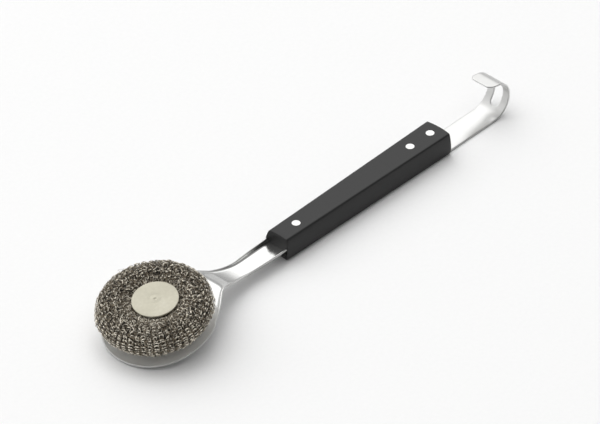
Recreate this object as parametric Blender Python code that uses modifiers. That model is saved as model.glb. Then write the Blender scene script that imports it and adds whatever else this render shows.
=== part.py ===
"""Grill cleaning brush: a knitted steel scourer clamped in a pressed steel dish, a riveted two-scale
handle and a slotted hanging hook.

Metres, +Z up. The tool lies on its handle's flat underside, on z = 0, with its scourer up. Its long axis
is X, with the head at -X and the hook at +X, and the XZ plane is its plane of symmetry.
Longitudinal places are stated as distances from the head's datum, the centre of the retaining disc.
"""

import math

import bmesh
import bpy
from mathutils import Matrix, Vector

MM = 0.001
GAP = 0.3 * MM  # left between pieces that touch

# Head
TILT = math.radians(11.5)  # the dish leans forwards, its tip down
DISH_CENTRE = 4.8 * MM  # from the datum
RIM_HEIGHT = 12.2 * MM  # the rim's plane above the ground at the dish's centre
DISH_LONG = 45.8 * MM  # half length of the rim, along the tool
DISH_WIDE = 41.6 * MM  # half width of the rim
DISH_DEPTH = 5.2 * MM
DISH_SQUARE = 2.12  # power of the rim's curve, which is 2 for an ellipse
SHEET = 1.5 * MM  # steel thickness
DISH_HOLE = 2.8 * MM  # radius

# Scourer, a ring in the dish's own frame, whose z starts at the rim's plane
RING_OUTER = 46.2 * MM
RING_TUBE_WIDE = 17.2 * MM  # half width of the ring's section
RING_TUBE_TALL = 15.2 * MM  # half height of the ring's section
RING_MID = RING_OUTER - RING_TUBE_WIDE
RING_CENTRE = 12.6 * MM

# Retaining disc and its threaded boss
DISC_RADIUS = 18.2 * MM
DISC_THICK = 1.2 * MM
DISC_TOP = 25.8 * MM
BOSS_RADIUS = 4.0 * MM
BOSS_BORE = 2.65 * MM
BOSS_BORE_DEPTH = 14.0 * MM

# Clamp screw and lock washer, below the dish
SCREW_SHANK = 2.35 * MM
SCREW_LENGTH = 12.0 * MM
SCREW_HEAD = 5.0 * MM
SCREW_HEAD_TALL = 2.2 * MM
SCREW_SLOT_WIDE = 1.2 * MM
SCREW_SLOT_DEEP = 0.9 * MM
WASHER_OUTER = 4.6 * MM
WASHER_INNER = 2.75 * MM
WASHER_THICK = 1.1 * MM
WASHER_CUT = math.radians(14.0)  # the split

# Handle
HANDLE_FRONT = 137.0 * MM
HANDLE_REAR = 318.9 * MM
HANDLE_TALL = 19.5 * MM
TOP_WIDE_FRONT = 18.5 * MM
TOP_WIDE_REAR = 23.6 * MM
BULGE_FRONT = 2.6 * MM  # how far each side stands out past the top face's edge
BULGE_REAR = 1.6 * MM
BULGE_HEIGHT = 6.5 * MM
END_BULGE_FRONT = 1.4 * MM
END_BULGE_REAR = 0.5 * MM
FRONT_SCOOP = 1.2 * MM  # the front end is hollow in plan, and the rear end is crowned
REAR_CROWN = 1.5 * MM
TOP_EDGE = 0.7 * MM
BOTTOM_EDGE = 1.2 * MM
PARTING = 4.3 * MM  # the upper scale's lower face, which is also the tang's lower face

# Rivets
RIVET_PLACES = {"front": 156.9 * MM, "middle": 285.6 * MM, "rear": 308.3 * MM}
RIVET_HEAD = 3.5 * MM
RIVET_HEAD_THICK = 1.0 * MM
STRIP_FLANGE = 0.55 * MM  # the thinner head under the strip
RIVET_SHANK = 2.5 * MM
RIVET_BORE = 1.6 * MM
RIVET_PIN = 1.3 * MM
RIVET_PROUD = 0.1 * MM
BORE_TURN = math.radians(4.0)  # keeps the bores' facets off the middle plane

# Hook strip
STRIP_HALF = 11.0 * MM
TAIL_HALF = 7.0 * MM  # inside the lower scale
TAIL_START = 272.0 * MM
STRIP_TOP = 2.6 * MM
STRIP_CROWN = 0.9 * MM  # how much lower the long edges are than the middle
HOOK_BEND = 371.1 * MM  # where the strip starts to bend up
HOOK_RADIUS = 15.2 * MM  # inner face
HOOK_TURN = math.radians(170.0)
TAB_LENGTH = 9.2 * MM
TAB_CORNER = 6.0 * MM
SLOT_HALF = 4.2 * MM
SLOT_START = math.radians(35.0)
SLOT_END = math.radians(118.0)

# The neck's stations: distance from the datum, half width, height of the edge, height of the floor.
# The first lies on the dish's rim, and from the handle's mouth on the sheet flattens into the tang.
TANG_HALF = 7.5 * MM
TANG_TOP = PARTING + SHEET
TANG_END = 314.0 * MM
TANG_SLACK = 0.4 * MM
NECK = [
    (28.0, 35.4, 16.7, 12.6),
    (37.7, 30.2, 18.7, 14.7),
    (43.7, 26.2, 20.0, 16.1),
    (50.0, 21.4, 21.2, 18.0),
    (54.0, 18.4, 21.9, 19.4),
    (57.6, 16.4, 22.1, 20.2),
    (61.3, 14.9, 21.3, 19.6),
    (68.0, 12.6, 18.6, 17.0),
    (73.9, 10.8, 16.2, 14.6),
    (85.4, 8.9, 13.3, 11.4),
    (96.4, 8.1, 12.1, 9.9),
    (114.9, 8.9, 12.3, 9.3),
    (134.0, 9.4, 12.5, 9.1),
    (138.0, 9.4, 12.5, 9.1),
    (146.0, 8.6, 9.6, 7.4),
    (154.0, 7.5, 5.8, 5.8),
]
NECK_BLEND_START = 26.0 * MM
NECK_BLEND_END = 56.0 * MM
WALL_POWER = 8.0  # how sharply the neck's sides turn up
ACROSS = 24  # faces across the sheet
DISH_ROWS = 14
TIP_SHARE = 1.6  # the tip's row is this much longer than the others
NECK_STEP = 3.0 * MM

RING_FRONT = RING_MID * math.cos(TILT) + math.hypot(
    RING_TUBE_WIDE * math.cos(TILT), RING_TUBE_TALL * math.sin(TILT)
)
FRONT_REACH = RING_FRONT + RING_CENTRE * math.sin(TILT) - DISH_CENTRE
REAR_REACH = HOOK_BEND + HOOK_RADIUS + SHEET + STRIP_CROWN
DATUM_X = (FRONT_REACH - REAR_REACH) / 2  # centres the tool on the origin


def at(distance):
    """World X of a place stated from the datum."""
    return DATUM_X + distance


# ---------------------------------------------------------------- scene helpers


def clear_scene():
    for obj in list(bpy.data.objects):
        bpy.data.objects.remove(obj)


def make_collection(name):
    collection = bpy.data.collections.new(name)
    bpy.context.scene.collection.children.link(collection)
    return collection


def make_material(name, colour, roughness, metallic):
    material = bpy.data.materials.new(name)
    material.use_nodes = True
    shader = material.node_tree.nodes["Principled BSDF"]
    shader.inputs["Base Color"].default_value = (*colour, 1.0)
    shader.inputs["Roughness"].default_value = roughness
    shader.inputs["Metallic"].default_value = metallic
    return material


def add_object(name, mesh, material=None, collection=None):
    obj = bpy.data.objects.new(name, mesh)
    (collection or PARTS).objects.link(obj)
    if material:
        mesh.materials.append(material)
    return obj


def mesh_from(name, points, faces):
    mesh = bpy.data.meshes.new(name)
    mesh.from_pydata([tuple(p) for p in points], [], faces)
    mesh.update()
    return mesh


def make_cutter(obj):
    for owner in list(obj.users_collection):
        owner.objects.unlink(obj)
    CUTTERS.objects.link(obj)
    obj.hide_render = True
    obj.display_type = "WIRE"
    return obj


def cut(obj, cutter):
    modifier = obj.modifiers.new("cut_" + cutter.name, "BOOLEAN")
    modifier.operation = "DIFFERENCE"
    modifier.object = cutter


def turned(name, profile, material=None, steps=32):
    """A solid turned about its own Z from (radius, height) pairs that run down the outer side."""
    edges = [(i, i + 1) for i in range(len(profile) - 1)]
    mesh = bpy.data.meshes.new(name)
    mesh.from_pydata([(radius, 0.0, height) for radius, height in profile], edges, [])
    obj = add_object(name, mesh, material)
    screw = obj.modifiers.new("turn", "SCREW")
    screw.steps = steps
    screw.render_steps = steps
    screw.use_merge_vertices = True
    screw.merge_threshold = 0.00001
    return obj


def cylinder(name, radius, low, high, material=None, steps=32):
    return turned(name, [(0, high), (radius, high), (radius, low), (0, low)], material, steps)


def smooth(t):
    t = min(max(t, 0.0), 1.0)
    return t * t * (3 - 2 * t)


def spline_value(stations, x, column):
    """A cubic curve through the stations' column, with the mean slope of its neighbours at each."""
    last = len(stations) - 1
    i = next((k for k in range(last) if x <= stations[k + 1][0]), last - 1)

    def slope(k):
        a, b = max(k - 1, 0), min(k + 1, last)
        return (stations[b][column] - stations[a][column]) / (stations[b][0] - stations[a][0])

    x0, x1 = stations[i][0], stations[i + 1][0]
    y0, y1 = stations[i][column], stations[i + 1][column]
    span = x1 - x0
    t = min(max((x - x0) / span, 0.0), 1.0)
    hermite = (2 * t**3 - 3 * t**2 + 1) * y0 + (t**3 - 2 * t**2 + t) * span * slope(i)
    return hermite + (3 * t**2 - 2 * t**3) * y1 + (t**3 - t**2) * span * slope(i + 1)


def sheet_object(name, rows, thickness, material=None, above=0.0, even=False):
    """A sheet from rows of points across it, with this much of its thickness above the points."""
    points, starts = [], []
    for row in rows:
        starts.append(len(points))
        points.extend(row)
    faces = []
    for (a, row_a), (b, row_b) in zip(zip(starts, rows), zip(starts[1:], rows[1:])):
        for i in range(len(row_b) - 1):
            if len(row_a) == 1:
                faces.append((a, b + i, b + i + 1))
            else:
                faces.append((a + i, b + i, b + i + 1, a + i + 1))
    obj = add_object(name, mesh_from(name, points, faces), material)
    solid = obj.modifiers.new("thickness", "SOLIDIFY")
    solid.thickness = thickness
    solid.offset = 2 * above / thickness - 1
    solid.use_even_offset = even
    return obj


def across(half_count=ACROSS // 2):
    """Shares of the half width across a sheet, closer together at its edges."""
    turns = [i / half_count for i in range(-half_count, half_count + 1)]
    return [(turn + math.sin(math.pi / 2 * turn)) / 2 for turn in turns]


# ---------------------------------------------------------------- head


def dish_plane(x):
    """Height of the rim's plane at a distance from the datum."""
    return RIM_HEIGHT + (x - DISH_CENTRE) * math.tan(TILT)


def dish_height(x, y):
    along = abs(x - DISH_CENTRE) / math.cos(TILT) / DISH_LONG
    spread = min(along**DISH_SQUARE + abs(y / DISH_WIDE) ** DISH_SQUARE, 1.0)
    return dish_plane(x) - DISH_DEPTH / math.cos(TILT) * (1 - spread**2)


def dish_half(x):
    """Half width of the rim."""
    along = abs(x - DISH_CENTRE) / math.cos(TILT) / DISH_LONG
    return DISH_WIDE * (1 - along**DISH_SQUARE) ** (1 / DISH_SQUARE)


def blade_row(x, half, beyond=0.0):
    """The sheet's upper face at one place, taken this far beyond its edges."""
    weight = smooth((x - NECK_BLEND_START) / (NECK_BLEND_END - NECK_BLEND_START))
    edge = spline_value(NECK, x / MM, 2) * MM
    floor = spline_value(NECK, x / MM, 3) * MM
    row = []
    for share in across():
        share *= 1 + beyond / half
        y = share * half
        neck = floor + (edge - floor) * abs(share) ** WALL_POWER
        row.append((at(x), y, (1 - weight) * dish_height(x, y) + weight * neck))
    return row


def blade_rows():
    neck_start = NECK[0][0] * MM
    tip = DISH_CENTRE - DISH_LONG * math.cos(TILT)
    last_angle = math.acos((DISH_CENTRE - neck_start) / math.cos(TILT) / DISH_LONG)
    rows = [[(at(tip), 0.0, dish_plane(tip))]]
    for i in range(1, DISH_ROWS):
        angle = last_angle * (i + TIP_SHARE) / (DISH_ROWS + TIP_SHARE)
        x = DISH_CENTRE - DISH_LONG * math.cos(TILT) * math.cos(angle)
        rows.append(blade_row(x, dish_half(x)))
    neck_end = NECK[-1][0] * MM
    count = round((neck_end - neck_start) / NECK_STEP)
    for i in range(count + 1):
        x = neck_start + (neck_end - neck_start) * i / count
        rows.append(blade_row(x, spline_value(NECK, x / MM, 1) * MM))
    rows.append([(at(TANG_END), share * TANG_HALF, TANG_TOP) for share in across()])
    return rows


def build_blade(head):
    blade = sheet_object("head_blade", blade_rows(), SHEET, STEEL)
    hole = make_cutter(cylinder("dish_hole", DISH_HOLE, -5 * SHEET - DISH_DEPTH, 0.0))
    hole.parent = head
    cut(blade, hole)
    for place in RIVET_PLACES:
        cut(blade, rivet_bore(place, "tang"))
    return blade


def build_head_frame():
    head = bpy.data.objects.new("head_frame", None)
    PARTS.objects.link(head)
    head.location = (at(DISH_CENTRE), 0.0, RIM_HEIGHT)
    head.rotation_euler = (0.0, -TILT, 0.0)
    return head


def build_scourer(head):
    """The plain envelope of the knitted ring."""
    count = 20
    profile = []
    for i in range(count + 1):
        angle = math.pi - 2 * math.pi * i / count
        profile.append(
            (
                RING_MID + RING_TUBE_WIDE * math.cos(angle),
                RING_CENTRE + RING_TUBE_TALL * math.sin(angle),
            )
        )
    ring = turned("scourer_ring", profile, SCOURER, 48)
    weld = ring.modifiers.new("weld", "WELD")
    weld.merge_threshold = 0.00001
    ring.parent = head


def build_retainer(head):
    disc = turned(
        "retaining_disc",
        [
            (0, DISC_TOP),
            (DISC_RADIUS - 0.4 * MM, DISC_TOP),
            (DISC_RADIUS, DISC_TOP - 0.4 * MM),
            (DISC_RADIUS, DISC_TOP - DISC_THICK),
            (0, DISC_TOP - DISC_THICK),
        ],
        DISC,
        64,
    )
    boss_top = DISC_TOP - DISC_THICK - GAP
    boss_low = GAP - DISH_DEPTH
    boss = turned(
        "threaded_boss",
        [
            (0, boss_top),
            (BOSS_RADIUS, boss_top),
            (BOSS_RADIUS, boss_low),
            (BOSS_BORE, boss_low),
            (BOSS_BORE, boss_low + BOSS_BORE_DEPTH),
            (0, boss_low + BOSS_BORE_DEPTH),
        ],
        STEEL,
    )
    disc.parent = head
    boss.parent = head


def build_clamp_screw(head):
    washer_top = -DISH_DEPTH - SHEET - GAP
    washer_low = washer_top - WASHER_THICK
    washer = turned(
        "lock_washer",
        [
            (WASHER_INNER, washer_top),
            (WASHER_OUTER, washer_top),
            (WASHER_OUTER, washer_low),
            (WASHER_INNER, washer_low),
            (WASHER_INNER, washer_top),
        ],
        STEEL,
        33,
    )
    washer.modifiers["turn"].angle = 2 * math.pi - WASHER_CUT
    washer.modifiers["turn"].use_merge_vertices = False
    cap_ends(washer)
    head_top = washer_low - GAP
    head_low = head_top - SCREW_HEAD_TALL
    screw = turned(
        "clamp_screw",
        [
            (0, head_top + SCREW_LENGTH),
            (SCREW_SHANK - 0.5 * MM, head_top + SCREW_LENGTH),
            (SCREW_SHANK, head_top + SCREW_LENGTH - 0.6 * MM),
            (SCREW_SHANK, head_top),
            (SCREW_HEAD, head_top),
            (SCREW_HEAD, head_top - 0.7 * MM),
            (SCREW_HEAD * 0.8, head_low + 0.2 * MM),
            (SCREW_HEAD * 0.45, head_low),
            (0, head_low),
        ],
        STEEL,
    )
    bpy.ops.mesh.primitive_cube_add(size=1.0)
    slot = bpy.context.object
    slot.name = "coin_slot"
    slot.data.transform(Matrix.Diagonal((4 * SCREW_HEAD, SCREW_SLOT_WIDE, 2 * SCREW_SLOT_DEEP, 1)))
    slot.location = (0.0, 0.0, head_low)
    make_cutter(slot)
    cut(screw, slot)
    for obj in (washer, screw, slot):
        obj.parent = head


def cap_ends(obj):
    """Makes the turned object a mesh and closes its two open ends."""
    graph = bpy.context.evaluated_depsgraph_get()
    mesh = bpy.data.meshes.new_from_object(obj.evaluated_get(graph))
    solid = bmesh.new()
    solid.from_mesh(mesh)
    bmesh.ops.remove_doubles(solid, verts=solid.verts, dist=0.000001)
    bmesh.ops.holes_fill(solid, edges=solid.edges, sides=0)
    bmesh.ops.recalc_face_normals(solid, faces=solid.faces)
    solid.to_mesh(mesh)
    solid.free()
    obj.modifiers.clear()
    obj.data = mesh


# ---------------------------------------------------------------- handle


def swell(height):
    """Share of the handle's full bulge at a height."""
    reach = HANDLE_TALL - BULGE_HEIGHT if height > BULGE_HEIGHT else BULGE_HEIGHT
    return 1 - ((height - BULGE_HEIGHT) / reach) ** 2


def side(height, share):
    """How far the handle's side stands from the middle plane, at a height and a share of its length."""
    top_half = (TOP_WIDE_FRONT + (TOP_WIDE_REAR - TOP_WIDE_FRONT) * share) / 2
    bulge = BULGE_FRONT + (BULGE_REAR - BULGE_FRONT) * share
    return top_half + bulge * swell(height)


def scale_section(low, high, share, low_edge, high_edge):
    """Half outline of a scale's section as (y, z), from the middle of its lower face to its upper face."""
    arc = 5
    points = [(0.0, low)]
    if low_edge:
        for i in range(arc + 1):
            angle = math.pi / 2 * i / arc
            z = low + low_edge * (1 - math.cos(angle))
            points.append((side(z, share) - low_edge * (1 - math.sin(angle)), z))
    else:
        points.append((side(low, share), low))
    start, end = low + low_edge, high - high_edge
    steps = max(2, round((end - start) / (2 * MM)))
    points += [
        (side(start + (end - start) * i / steps, share), start + (end - start) * i / steps)
        for i in range(1, steps)
    ]
    if high_edge:
        for i in range(arc + 1):
            angle = math.pi / 2 * i / arc
            z = high - high_edge * (1 - math.sin(angle))
            points.append((side(z, share) - high_edge * (1 - math.cos(angle)), z))
    else:
        points.append((side(high, share), high))
    points.append((0.0, high))
    return points


def build_scale(name, low, high, low_edge, high_edge):
    """One scale of the handle, lofted from its front section to its rear one."""
    rows = []
    stations = 10
    for i in range(stations + 1):
        share = i / stations
        half = scale_section(low, high, share, low_edge, high_edge)
        loop = half + [(-y, z) for y, z in reversed(half[1:-1])]
        row = []
        for y, z in loop:
            bow = 1 - (y / side(BULGE_HEIGHT, share)) ** 2
            front = HANDLE_FRONT + FRONT_SCOOP * (bow - 1) - END_BULGE_FRONT * swell(z)
            rear = HANDLE_REAR + REAR_CROWN * (bow - 1) + END_BULGE_REAR * swell(z)
            row.append((at(front + (rear - front) * share), y, z))
        rows.append(row)
    count = len(rows[0])
    points = [p for row in rows for p in row]
    faces = [tuple(range(count))]
    for r in range(stations):
        for i in range(count):
            j = (i + 1) % count
            faces.append((r * count + i, (r + 1) * count + i, (r + 1) * count + j, r * count + j))
    faces.append(tuple(stations * count + i for i in reversed(range(count))))
    mesh = mesh_from(name, points, faces)
    solid = bmesh.new()
    solid.from_mesh(mesh)
    bmesh.ops.triangulate(solid, faces=[f for f in solid.faces if len(f.verts) > 4])
    bmesh.ops.recalc_face_normals(solid, faces=solid.faces)
    solid.to_mesh(mesh)
    solid.free()
    return add_object(name, mesh, HANDLE)


def tang_pocket():
    """The room that the tang and the neck's end take in the upper scale."""
    start, end = 128.0 * MM, NECK[-1][0] * MM
    rows = []
    count = 9
    for i in range(count + 1):
        x = start + (end - start) * i / count
        rows.append(blade_row(x, spline_value(NECK, x / MM, 1) * MM, TANG_SLACK))
    half = TANG_HALF + TANG_SLACK
    rows.append([(at(TANG_END + TANG_SLACK), share * half, TANG_TOP) for share in across()])
    thickness = SHEET + 2 * TANG_SLACK
    return make_cutter(sheet_object("tang_pocket", rows, thickness, above=TANG_SLACK, even=True))


def build_handle():
    upper = build_scale("upper_scale", PARTING, HANDLE_TALL, 0.0, TOP_EDGE)
    lower = build_scale("lower_scale", 0.0, PARTING - GAP, BOTTOM_EDGE, 0.0)
    cut(upper, tang_pocket())
    cut(lower, strip_pocket())
    for place in RIVET_PLACES:
        cut(upper, rivet_bore(place, "upper"))
        cut(lower, rivet_bore(place, "lower"))


def rivet_bore(place, what):
    """The room for a rivet's shank, with the seats for its heads where a scale has one."""
    shank, seat = RIVET_SHANK + GAP, RIVET_HEAD + GAP
    high, low = HANDLE_TALL + SHEET, -SHEET
    profile = [(0, high), (shank, high), (shank, low), (0, low)]
    if what == "upper":
        step = HANDLE_TALL - RIVET_HEAD_THICK - GAP
        profile[1:2] = [(seat, high), (seat, step), (shank, step)]
    elif what == "lower" and place == "front":
        step = RIVET_HEAD_THICK + 2 * GAP
        profile[2:3] = [(shank, step), (seat, step), (seat, low)]
    bore = turned(f"{place}_rivet_bore_{what}", profile)
    bore.location = (at(RIVET_PLACES[place]), 0.0, 0.0)
    bore.rotation_euler.z = BORE_TURN
    return make_cutter(bore)


def build_rivet(place, x):
    """A two-piece cutlery rivet: a tubular cap from above and a post pressed into it from below."""
    cap_top = HANDLE_TALL + RIVET_PROUD
    cap_low = PARTING + SHEET + GAP
    bore_end = cap_top - RIVET_HEAD_THICK
    cap = turned(
        f"{place}_rivet_cap",
        [
            (0, cap_top),
            (RIVET_HEAD - 0.3 * MM, cap_top),
            (RIVET_HEAD, cap_top - 0.3 * MM),
            (RIVET_HEAD, cap_top - RIVET_HEAD_THICK),
            (RIVET_SHANK, cap_top - RIVET_HEAD_THICK),
            (RIVET_SHANK, cap_low),
            (RIVET_BORE, cap_low),
            (RIVET_BORE, bore_end),
            (0, bore_end),
        ],
        STEEL,
        40,
    )
    post_low, flange = GAP, RIVET_HEAD_THICK
    if place != "front":
        flange = STRIP_FLANGE
    post_shoulder = cap_low - GAP
    post = turned(
        f"{place}_rivet_post",
        [
            (0, bore_end - GAP),
            (RIVET_PIN, bore_end - GAP),
            (RIVET_PIN, post_shoulder),
            (RIVET_SHANK, post_shoulder),
            (RIVET_SHANK, post_low + flange),
            (RIVET_HEAD, post_low + flange),
            (RIVET_HEAD, post_low + 0.2 * MM),
            (RIVET_HEAD - 0.2 * MM, post_low),
            (0, post_low),
        ],
        STEEL,
        40,
    )
    for half in (cap, post):
        half.location = (at(x), 0.0, 0.0)


# ---------------------------------------------------------------- hook strip


def hook_point(run):
    """Place and upward normal of the strip's inner face, at a run from the bend's start: (x, z), (nx, nz)."""
    arc = HOOK_RADIUS * HOOK_TURN
    if run <= 0:
        return (HOOK_BEND + run, STRIP_TOP), (0.0, 1.0)
    turn = min(run, arc) / HOOK_RADIUS
    x = HOOK_BEND + HOOK_RADIUS * math.sin(turn)
    z = STRIP_TOP + HOOK_RADIUS * (1 - math.cos(turn))
    beyond = max(run - arc, 0.0)
    x += beyond * math.cos(turn)
    z += beyond * math.sin(turn)
    return (x, z), (-math.sin(turn), math.cos(turn))


def hook_row(run, half, shares):
    (x, z), (nx, nz) = hook_point(run)
    row = []
    for share in shares:
        y = share * half
        drop = -STRIP_CROWN * (y / STRIP_HALF) ** 2
        row.append((at(x + drop * nx), y, z + drop * nz))
    return row


def strip_runs():
    """(run, half width) along the strip, from its tail in the handle to the end of its tab."""
    shoulder = HANDLE_REAR + REAR_CROWN + 1.0 * MM - HOOK_BEND
    ramp = 4.0 * MM
    runs = [(TAIL_START - HOOK_BEND, TAIL_HALF), (shoulder, TAIL_HALF)]
    for i in range(1, 5):
        share = i / 4
        half = TAIL_HALF + (STRIP_HALF - TAIL_HALF) * math.sin(math.pi / 2 * share)
        runs.append((shoulder + ramp * (1 - math.cos(math.pi / 2 * share)), half))
    runs.append((0.0, STRIP_HALF))
    arc = HOOK_RADIUS * HOOK_TURN
    steps = 24
    runs += [(arc * i / steps, STRIP_HALF) for i in range(1, steps + 1)]
    end = arc + TAB_LENGTH
    for i in range(7):
        angle = math.pi / 2 * i / 6
        half = STRIP_HALF - TAB_CORNER * (1 - math.cos(angle))
        runs.append((end - TAB_CORNER * (1 - math.sin(angle)), half))
    return runs


def hook_slot():
    """The long hole through the bend, with round ends."""
    start, end = SLOT_START * HOOK_RADIUS, SLOT_END * HOOK_RADIUS
    radius = SLOT_HALF
    rows = []
    steps = 4
    for i in range(1, steps + 1):
        angle = math.pi / 2 * i / steps
        rows.append((start + radius * (1 - math.cos(angle)), radius * math.sin(angle)))
    middle = end - start - 2 * radius
    rows += [(start + radius + middle * i / 10, radius) for i in range(1, 10)]
    rows += [(start + end - run, half) for run, half in reversed(rows[:steps])]
    shares = [i / 4 for i in range(-4, 5)]
    slot_rows = [hook_row(run, half, shares) for run, half in rows]
    return make_cutter(sheet_object("hook_slot", slot_rows, 4 * SHEET, above=1.5 * SHEET))


def build_hook_strip():
    rows = [hook_row(run, half, across(8)) for run, half in strip_runs()]
    strip = sheet_object("hook_strip", rows, SHEET, STEEL)
    cut(strip, hook_slot())
    for place in ("middle", "rear"):
        cut(strip, rivet_bore(place, "strip"))


def strip_pocket():
    """The channel for the strip's tail in the lower scale's underside, open at the rear."""
    half = TAIL_HALF + GAP
    start, end = TAIL_START - GAP, HANDLE_REAR + 5 * MM
    bpy.ops.mesh.primitive_cube_add(size=1.0)
    pocket = bpy.context.object
    pocket.name = "strip_pocket"
    low, high = -2 * SHEET, STRIP_TOP + GAP
    size = Vector((end - start, 2 * half, high - low))
    pocket.data.transform(Matrix.Diagonal((*size, 1)))
    pocket.location = (at((start + end) / 2), 0.0, (low + high) / 2)
    return make_cutter(pocket)


clear_scene()
PARTS = make_collection("grill_cleaning_brush")
CUTTERS = make_collection("cutters")
STEEL = make_material("steel", (0.78, 0.78, 0.77), 0.25, 1.0)
SCOURER = make_material("scourer_wire", (0.38, 0.35, 0.30), 0.4, 1.0)
DISC = make_material("disc_steel", (0.78, 0.76, 0.68), 0.45, 0.7)
HANDLE = make_material("handle_black", (0.035, 0.035, 0.036), 0.45, 0.0)

HEAD = build_head_frame()
build_blade(HEAD)
build_scourer(HEAD)
build_retainer(HEAD)
build_clamp_screw(HEAD)
build_handle()
build_hook_strip()
for rivet_place, rivet_x in RIVET_PLACES.items():
    build_rivet(rivet_place, rivet_x)
for part in PARTS.objects:
    if part.type == "MESH":
        part.data.shade_smooth()
        part.data.set_sharp_from_angle(angle=math.radians(35))
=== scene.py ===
import math

import bmesh
import bpy
import numpy as np
from mathutils import Matrix, Vector

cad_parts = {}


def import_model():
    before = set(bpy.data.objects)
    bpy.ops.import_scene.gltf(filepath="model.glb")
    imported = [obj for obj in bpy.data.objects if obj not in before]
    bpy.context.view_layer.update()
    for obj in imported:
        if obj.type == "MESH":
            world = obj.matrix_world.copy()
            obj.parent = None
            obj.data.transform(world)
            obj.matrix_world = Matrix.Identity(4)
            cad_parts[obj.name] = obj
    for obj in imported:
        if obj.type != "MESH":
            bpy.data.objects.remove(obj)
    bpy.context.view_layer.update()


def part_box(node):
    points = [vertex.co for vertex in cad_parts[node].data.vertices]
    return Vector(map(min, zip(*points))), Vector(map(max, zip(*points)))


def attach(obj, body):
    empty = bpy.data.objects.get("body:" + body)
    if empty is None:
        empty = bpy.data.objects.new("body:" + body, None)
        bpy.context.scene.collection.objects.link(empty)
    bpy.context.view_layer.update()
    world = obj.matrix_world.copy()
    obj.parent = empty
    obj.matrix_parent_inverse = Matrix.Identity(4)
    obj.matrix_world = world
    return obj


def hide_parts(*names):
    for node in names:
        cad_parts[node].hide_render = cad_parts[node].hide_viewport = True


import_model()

# Everything below is in millimetres in the tool's own terms, and goes to metres in one place.
# Distances along the tool start from the head's datum, the centre of the retaining disc.
MM = 0.001
RIVETS = {"front": 156.9, "middle": 285.6, "rear": 308.3}
CAP_LOW, CAP_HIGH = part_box("front_rivet_cap")
DATUM = (CAP_LOW[0] + CAP_HIGH[0]) / 2 - RIVETS["front"] * MM

TILT = math.radians(11.5)
DISH_CENTRE, RIM_HEIGHT = 4.8, 12.2
DISH_LONG, DISH_WIDE, DISH_DEPTH, DISH_SQUARE = 45.8, 41.6, 5.2, 2.12
SHEET = 1.5
LIP = SHEET / 2
NECK = [
    (28.0, 35.4, 16.7, 12.6),
    (37.7, 30.2, 18.7, 14.7),
    (43.7, 26.2, 20.0, 16.1),
    (50.0, 21.4, 21.2, 18.8),
    (54.0, 18.4, 21.9, 20.2),
    (57.6, 16.4, 22.1, 20.8),
    (61.3, 14.9, 21.3, 20.0),
    (68.0, 12.6, 18.6, 17.1),
    (73.9, 10.8, 16.2, 14.5),
    (85.4, 8.9, 13.3, 11.3),
    (96.4, 8.1, 12.1, 9.6),
    (114.9, 8.9, 12.3, 8.9),
    (134.0, 9.3, 12.5, 8.7),
    (138.0, 9.2, 12.4, 8.7),
    (146.0, 8.4, 9.6, 7.4),
    (154.0, 7.5, 5.8, 5.8),
]
TANG_HALF, TANG_TOP, TANG_END = 7.5, 5.8, 314.0

RING_MID, RING_WIDE, RING_TALL, RING_CENTRE = 29.0, 17.2, 15.2, 12.6
RING_SHIFT = np.array([-1.3, 1.3])
RING_TUCK, RING_RAISE, RING_FLARE = 0.42, 1.6, 0.6
CORE_SCALE = 0.82
BOSS_CLEAR, DISH_CLEAR = 5.2, 0.6
DIP_REACH, DIP_RUN, DIP_START, DIP_FALL = 23.4, 4.3, 3.2, 4.8
DISC_RADIUS, DISC_THICK, DISC_TOP = 18.2, 1.2, 25.8

HANDLE_FRONT, HANDLE_REAR, HANDLE_TALL = 137.0, 318.9, 19.5
TOP_FRONT, TOP_REAR = 18.5, 23.6
BULGE_FRONT, BULGE_REAR, BULGE_HEIGHT = 2.6, 1.6, 6.5
END_BULGE_FRONT, END_BULGE_REAR = 1.4, 0.5
FRONT_SCOOP, REAR_CROWN = 1.2, 1.5
PARTING = 4.3

STRIP_HALF, TAIL_HALF, STRIP_TOP, STRIP_CROWN = 11.0, 7.0, 2.6, 0.9
TAIL_START, HOOK_BEND, HOOK_RADIUS = 272.0, 371.1, 15.2
HOOK_TURN, TAB_LENGTH, TAB_CORNER = math.radians(170.0), 9.2, 6.0
SLOT_HALF, SLOT_START, SLOT_END = 4.2, math.radians(35.0), math.radians(118.0)


# ------------------------------------------------------------------ mesh helpers


def smooth(t):
    t = min(max(t, 0.0), 1.0)
    return t * t * (3 - 2 * t)


def world(points):
    """Points in millimetres from the datum to metres in the frame."""
    out = np.asarray(points, float) * MM
    out[:, 0] += DATUM
    return out


HEAD_AXIS = np.array([-math.sin(TILT), 0.0, math.cos(TILT)])
HEAD_LONG = np.array([math.cos(TILT), 0.0, math.sin(TILT)])
HEAD_SIDE = np.array([0.0, 1.0, 0.0])
HEAD_ORIGIN = np.array([DISH_CENTRE, 0.0, RIM_HEIGHT])


def head(points):
    """Points in the dish's own frame, its z from the rim's plane, to millimetres from the datum."""
    p = np.asarray(points, float)
    return HEAD_ORIGIN + p[:, :1] * HEAD_LONG + p[:, 1:2] * HEAD_SIDE + p[:, 2:] * HEAD_AXIS


def make_object(name, points, faces, material, node=None, body="brush"):
    mesh = bpy.data.meshes.new(name)
    mesh.from_pydata([tuple(p) for p in points], [], [tuple(f) for f in faces])
    mesh.update()
    obj = bpy.data.objects.new(name, mesh)
    bpy.context.scene.collection.objects.link(obj)
    mesh.materials.append(material)
    mesh.shade_smooth()
    settle(obj, node, body)
    return obj


def settle(obj, node, body):
    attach(obj, body)
    if node:
        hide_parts(node)


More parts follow.
